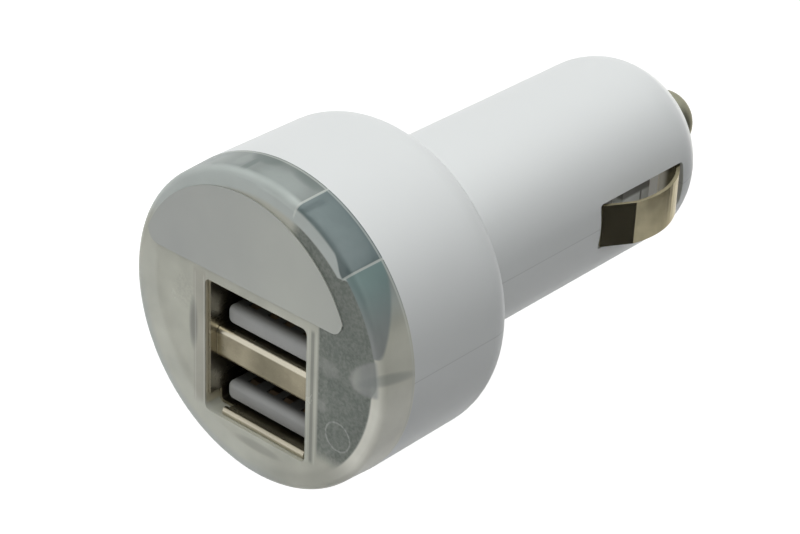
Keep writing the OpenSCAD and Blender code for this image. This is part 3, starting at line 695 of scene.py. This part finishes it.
def frosted_plastic():
    finish, tree = start_finish("clear_cap")
    at = cap_places(tree)
    cell, low_cell = cut_cells(at)
    dark_face = dark_right_face(at)
    boss, boss_top, boss_lit_side = boss_shapes(at)
    lines = cap_lines(at)
    # Painted highlights: two glints right of the ports
    glints = strongest(oval(at.x, at.z, **GLINT), oval(at.x, at.z, **LOW_GLINT))
    colour = paint(
        tree,
        pale_wall(tree, at),
        top_band(tree, at),
        *band_marks(at),
        # Painted shade: the dark inside showing through the right of the face
        (dark_face, 1.0, tint(tree, at.stipple * 0.6 + at.cloud * 0.4, *DARK_FACE_SHADE_TONES)),
        # Painted: the cells' tones are the board's green and painted shade of the dark inside
        (cell, 1.0, tint(tree, at.cloud, *CELL_BOARD_AND_SHADE_TONES)),
        (low_cell, LOW_CELL_SHARE, tint(tree, step(at.angle, *LOW_CELL_FADE), *LOW_CELL_BOARD_AND_SHADE_TONES)),
        # Painted light and shade: the boss is lighter on its lit side and darker on top
        (boss, BOSS_SHARE, tint(tree, boss_lit_side, *BOSS_LIT_AND_SHADED_TONES)),
        (boss_top, *BOSS_TOP_PAINTED_SHADE),
        (glints * dark_face, *GLINT_PAINTED_HIGHLIGHT),
        *port_side_marks(at),
        (lines, *LINE_PAINT),
    )
    dark = (cell + low_cell + dark_face).least(1.0)
    light = lines.most(low_right_painted_light(at))
    haze_share = HAZE_SHARE + at.cloud * HAZE_VARIES - dark * HAZE_DARK_LOSS + light * HAZE_LIGHT_GAIN
    fine = noise(tree, at.spot, per_mm=5.0, rough=0.6)
    relief = bump(fine * 0.4 + at.stipple * dark_face, distance_mm=0.02, strength=0.25)
    clear = surface(
        tree,
        base_color=CLEAR_TONE,
        roughness=0.2 + at.cloud * 0.1,
        ior=1.12,
        transmission_weight=1.0,
        normal=relief,
    )
    haze = surface(tree, base_color=colour, roughness=0.34 + at.cloud * 0.1, ior=1.46, normal=relief)
    end_finish(tree, add_node(tree, "ShaderNodeMixShader", None, {0: haze_share, 1: clear, 2: haze}))
    return finish


dress(frosted_plastic(), "clear_cap")
print("cap dressed")

# %% [markdown]
# ## Bare label
# The label is a thin silver-grey film. It carries no print here, so its finish is its look: a
# fine relief and a soft change of grey across the film.

# %% Silver-grey film
FILM_TONES = ((0.36, 0.375, 0.365), (0.51, 0.53, 0.475))
FILM_FADE = (-12.0, 10.0)


def label_film():
    finish, tree = start_finish("label")
    spot, (x, _, _) = place_mm(tree)
    cloud = noise(tree, spot, per_mm=0.15)
    fine = noise(tree, spot, per_mm=14.0, detail=1.0)
    shader = surface(
        tree,
        base_color=tint(tree, cloud * 0.5 + step(x, *FILM_FADE) * 0.5, *FILM_TONES),
        roughness=0.4,
        metallic=0.15,
        normal=bump(fine, distance_mm=0.01, strength=0.25),
    )
    end_finish(tree, shader)
    return finish


dress(label_film(), "face_label")
print("label dressed")

# %% [markdown]
# ## Nickel, spring strip and contacts
# Plated sheet is a metal whose colour is in its reflection. Rolling leaves fine streaks, and
# handling leaves soft stains, so roughness and tone vary. One builder makes each metal from a
# pair of tones, a roughness and the direction of its streaks. The port frame also gets painted
# highlights on its bends, its mouth and its lower lip and a painted shade on its middle, and the
# clips a painted glow, standing in for light through the white wall, on the run held in the barrel.

# %% Plated metals
PLATE_TINT = (1.0, 0.94, 0.8, 1.0)
STAIN_EDGE = (0.3, 0.7)
SHEET_STREAK = (1.0, 1.0, 12.0)
PORT_FRONT = (-16.6, -17.0)
BEND_HEIGHT = -2.98
BEND_HALF = 0.2
BEND_SHARE = 0.8
MOUTH_LEFT = (-6.1, -6.2)
MOUTH_DEPTH = (-13.8, -17.0)
LIP_TOP = (-10.7, -10.9)
LIP_FRONT = (-17.4, -17.7)
EDGE_SHARE = 0.5
MIDDLE_PLACE = 0.5
MIDDLE_HALF = (3.5, 0.5)
MIDDLE_PAINTED_SHADE = (0.5, (0.1, 0.094, 0.066))
PAINTED_HIGHLIGHT_TONE = (1.0, (0.7, 0.66, 0.54))
HELD_RUN = (33.1, 33.5)
HELD_SOFT = 0.05
HELD_OUTER = (9.0, 8.1)
HELD_INNER = (5.0, 5.5)
PAINTED_HELD_GLOW = (0.13, 0.125, 0.112)


def port_frame_light_and_shade(x, y, z):
    # Painted highlights on the bend, mouth and lip, and painted shade on the middle
    front = step(y, *PORT_FRONT)
    bend = line(z - BEND_HEIGHT, BEND_HALF) * front
    mouth = step(x, *MOUTH_LEFT) * step(y, *MOUTH_DEPTH)
    lip = step(z, *LIP_TOP) * step(y, *LIP_FRONT)
    middle = step(abs(x - MIDDLE_PLACE), *MIDDLE_HALF) * front
    bright = strongest(bend * BEND_SHARE, mouth * EDGE_SHARE, lip * EDGE_SHARE)
    return (middle, *MIDDLE_PAINTED_SHADE), (bright, *PAINTED_HIGHLIGHT_TONE)


def plated_metal(name, light, dark, rough, streak=SHEET_STREAK, marks=None, painted_held_glow=0.0):
    finish, tree = start_finish(name)
    spot, (x, y, z) = place_mm(tree)
    along = add_node(tree, "ShaderNodeMapping", None, {"Vector": spot, "Scale": streak})
    streaks = noise(tree, along, per_mm=1.2, detail=3.0)
    stain = noise(tree, spot, per_mm=0.5, detail=3.0)
    colour = tint(tree, step(stain * 0.8 + streaks * 0.2, *STAIN_EDGE), dark, light)
    if marks:
        colour = paint(tree, colour, *marks(x, y, z))
    # Painted light: a faint glow on the clip run held in the barrel
    held = between(y, *HELD_RUN, HELD_SOFT) * step(abs(x), *HELD_OUTER) * step(abs(x), *HELD_INNER)
    shader = surface(
        tree,
        base_color=colour,
        emission_color=tint(tree, held * painted_held_glow, NO_GLOW, PAINTED_HELD_GLOW),
        emission_strength=1.0,
        metallic=1.0,
        specular_tint=PLATE_TINT,
        roughness=rough + streaks * 0.1,
        normal=bump(streaks, distance_mm=0.003, strength=0.25),
    )
    end_finish(tree, shader)
    return finish


print("plating ready")

# %% [markdown]
# ## Which piece is which metal
# The port frame is nickel plate, the clips and spring are polished strip, and the tip is turned
# metal with streaks round it. Contacts and fingers are flashed with gold; they lie in the dark, so
# their gold is painted browner and darker as painted shade. The choke is wound with copper wire.

# %% Metals on their pieces
nickel = plated_metal(
    "port_steel", (0.28, 0.255, 0.185), (0.2, 0.18, 0.13), 0.24, (1.0, 1.0, 10.0), marks=port_frame_light_and_shade
)
strip = plated_metal(
    "spring_steel", (0.37, 0.335, 0.225), (0.265, 0.24, 0.16), 0.18, (8.0, 1.0, 12.0), painted_held_glow=1.0
)
turned = plated_metal("tip_metal", (0.36, 0.36, 0.28), (0.24, 0.245, 0.19), 0.42, (1.0, 10.0, 1.0))
# Painted shade: the gold tones are darkened for parts that lie in the dark
gold = plated_metal("contact_metal", (0.2, 0.15, 0.1), (0.13, 0.095, 0.065), 0.4)
copper = plated_metal("copper", (0.72, 0.33, 0.15), (0.5, 0.2, 0.08), 0.3)
contact_names = [f"{row}_contact_{i}" for row in ("lower", "upper") for i in range(1, 5)]
dress(nickel, "port_shell", "port_divider", "back_shield")
dress(strip, "left_clip", "right_clip", "tip_spring")
dress(turned, "tip_contact")
dress(gold, *contact_names, "spring_seat", "left_clip_finger", "right_clip_finger")
dress(copper, "choke_winding")
print("metals dressed")

# %% [markdown]
# ## Moulded and inner parts
# The insulator is a pale grey moulding with a painted shade that darkens it with depth in the
# ports, the board a green laminate, and the electronic parts are dark mouldings. Each gets a fine
# grain so that none of them is one flat colour.

# %% Moulded plastics
DEEP_IN_PORT = (-16.7, -15.3)
DEEP_PAINTED_SHADE_TONE = (0.05, 0.05, 0.05)
DARK_PARTS = ("input_capacitor", "output_capacitor", "converter_chip", "rectifier_diode", "chip_resistors")


def moulded(name, light, dark, rough, deep_shade=0.0):
    finish, tree = start_finish(name)
    spot, (_, y, _) = place_mm(tree)
    cloud = noise(tree, spot, per_mm=0.6, detail=3.0)
    grain = noise(tree, spot, per_mm=6.0)
    # Painted shade: deeper into the ports the colour darkens
    colour = paint(tree, tint(tree, cloud, dark, light), (step(y, *DEEP_IN_PORT), deep_shade, DEEP_PAINTED_SHADE_TONE))
    shader = surface(
        tree,
        base_color=colour,
        roughness=rough + cloud * 0.1,
        normal=bump(grain, distance_mm=0.015, strength=0.4),
    )
    end_finish(tree, shader)
    return finish


dress(moulded("port_plastic", (0.5, 0.51, 0.5), (0.43, 0.44, 0.43), 0.5, deep_shade=0.9), "port_insulator")
dress(moulded("board", (0.05, 0.2, 0.14), (0.03, 0.13, 0.1), 0.3), "main_board")
dress(moulded("dark_parts", (0.05, 0.05, 0.055), (0.02, 0.02, 0.025), 0.4), *DARK_PARTS)
dress(moulded("ferrite", (0.06, 0.06, 0.065), (0.03, 0.03, 0.035), 0.6), "choke_core")
dress(moulded("lamp", (0.7, 0.75, 0.7), (0.6, 0.65, 0.6), 0.15), "status_lamp")
print("inner parts dressed")

# %% [markdown]
# ## White floor
# A product picture shows its object in front of plain white. Here the plug hovers well above a
# white floor, so its shadow is wide and faint. A little glow that only the camera, mirrors and
# the clear cap see lifts the lit floor to plain white and keeps the shadow.

# %% White floor
FLOOR_DROP = 0.085
FLOOR_RADIUS = 4.0
FLOOR_WHITE = (0.96, 0.96, 0.96, 1.0)
FLOOR_GLOW = 0.22
floor_height = packed_box[0][2] - FLOOR_DROP


def looked_at(tree):
    rays = [f"Is {kind} Ray" for kind in ("Camera", "Glossy", "Transmission")]
    return strongest(*(add_node(tree, "ShaderNodeLightPath", out=ray) for ray in rays))


def floor_white():
    finish, tree = start_finish("floor")
    matt = add_node(tree, "ShaderNodeBsdfDiffuse", None, {"Color": FLOOR_WHITE})
    strength = looked_at(tree) * FLOOR_GLOW
    glow = add_node(tree, "ShaderNodeEmission", None, {"Color": WHITE, "Strength": strength})
    end_finish(tree, add_node(tree, "ShaderNodeAddShader", None, {0: matt, 1: glow}))
    return finish


def place_in_scene(name, mesh, finish):
    data = bpy.data.meshes.new(name)
    mesh.to_mesh(data)
    mesh.free()
    data.materials.append(finish)
    thing = bpy.data.objects.new(name, data)
    scene.collection.objects.link(thing)
    print(name, "faces", len(data.polygons))
    return thing


floor_mesh = bmesh.new()
bmesh.ops.create_circle(floor_mesh, cap_ends=True, segments=64, radius=FLOOR_RADIUS)
bmesh.ops.translate(floor_mesh, verts=floor_mesh.verts, vec=(0, 0, floor_height))
floor = place_in_scene("floor", floor_mesh, floor_white())
print("floor at", round(floor_height / MM, 2), "mm")

# %% [markdown]
# ## Dark cards beside the plug
# A white object on white has no shape unless something dark stands near it. Photographers put
# black card just outside the picture. One curved card stands round the right-hand side here, from
# below the plug to above it, and gives the barrel and head their dark sides. It reaches lower
# only where the steep end of the right clip mirrors it. The skirt under it shades the plastic's
# underside and stays out of reflections, so the rest of the clip stays bright.

# %% Two curved cards
CARD_DISTANCE = 0.12
CARD_STEPS = 31
CARD_TOP = 0.064
CARD_FOOT = -0.048
CARD_LOW_FOOT = -0.092
LOW_FROM = -0.06
LOW_TO = 0.032
SKIRT_FOOT = -0.088
CARD_TONE = (0.03, 0.03, 0.03, 1.0)


def card_black():
    finish, tree = start_finish("dark_card")
    end_finish(tree, add_node(tree, "ShaderNodeBsdfDiffuse", None, {"Color": CARD_TONE}))
    return finish


def curved_card(levels, start, sweep):
    card = bmesh.new()
    rod_verts = [card.verts.new((CARD_DISTANCE, 0, level)) for level in levels]
    rod = rod_verts + [card.edges.new(pair) for pair in zip(rod_verts, rod_verts[1:])]
    turn = Matrix.Rotation(math.radians(start), 3, "Z")
    centre = (0, 0, 0)
    bmesh.ops.rotate(card, verts=rod_verts, cent=centre, matrix=turn)
    bmesh.ops.spin(card, geom=rod, cent=centre, axis=(0, 0, 1), angle=math.radians(sweep), steps=CARD_STEPS)
    return card


def hang_card(name, card_mesh, finish):
    card = place_in_scene(name, card_mesh, finish)
    card.visible_camera = False
    return card


black = card_black()
tall_card = curved_card((CARD_LOW_FOOT, CARD_FOOT, CARD_TOP), start=-75, sweep=155)
centres = [(face, face.calc_center_median()) for face in tall_card.faces]
too_low = [face for face, centre in centres if centre.z < CARD_FOOT and not LOW_FROM < centre.y < LOW_TO]
bmesh.ops.delete(tall_card, geom=too_low, context="FACES")
hang_card("dark_card", tall_card, black)
skirt = hang_card("dark_skirt", curved_card((SKIRT_FOOT, CARD_FOOT), start=-36, sweep=116), black)
skirt.visible_glossy = False

# %% [markdown]
# ## A pale room
# The world gives a soft, even fill, a little stronger from above. Rays that come straight from the
# camera, off metal or through the cap see it at full white instead, so the backdrop stays white
# without lighting the plug any more.

# %% The room's own light
ROOM_LEVEL = 0.3
SKY_LEVEL = 0.1
SKY_EDGE = (0.0, 0.6)

room = bpy.data.worlds.new("room")
room.use_nodes = True
scene.world = room
room_tree = room.node_tree
room_tree.nodes.clear()
toward = add_node(room_tree, "ShaderNodeTexCoord", out="Generated")
toward_z = add_node(room_tree, "ShaderNodeSeparateXYZ", None, {0: toward}, out=2)
level = ROOM_LEVEL + step(toward_z, *SKY_EDGE) * SKY_LEVEL
fill = add_node(room_tree, "ShaderNodeBackground", None, {"Color": WHITE, "Strength": level})
backdrop = add_node(room_tree, "ShaderNodeBackground", None, {"Color": WHITE, "Strength": 1.0})
shown = add_node(room_tree, "ShaderNodeMixShader", None, {0: looked_at(room_tree), 1: fill, 2: backdrop})
end_finish(room_tree, shown, "ShaderNodeOutputWorld")
print("room lit")

# %% [markdown]
# ## One broad lamp
# A single very soft lamp overhead gives the white tops their calm, even tone. A sun lights the
# plug and the whole floor evenly, and its wide angle leaves no hard shadow and no small
# highlight.

# %% Broad soft lamp
LAMP_SHARE = 0.575
LAMP_ANGLE = 90
TOWARD_LAMP = Vector((0.19, 0.06, 1.0))

lamp = bpy.data.lights.new("overhead", "SUN")
lamp.energy = LAMP_SHARE * math.pi
lamp.angle = math.radians(LAMP_ANGLE)
lamp_holder = bpy.data.objects.new("overhead", lamp)
lamp_holder.rotation_euler = TOWARD_LAMP.to_track_quat("Z", "Y").to_euler()
scene.collection.objects.link(lamp_holder)
print("lamp placed")
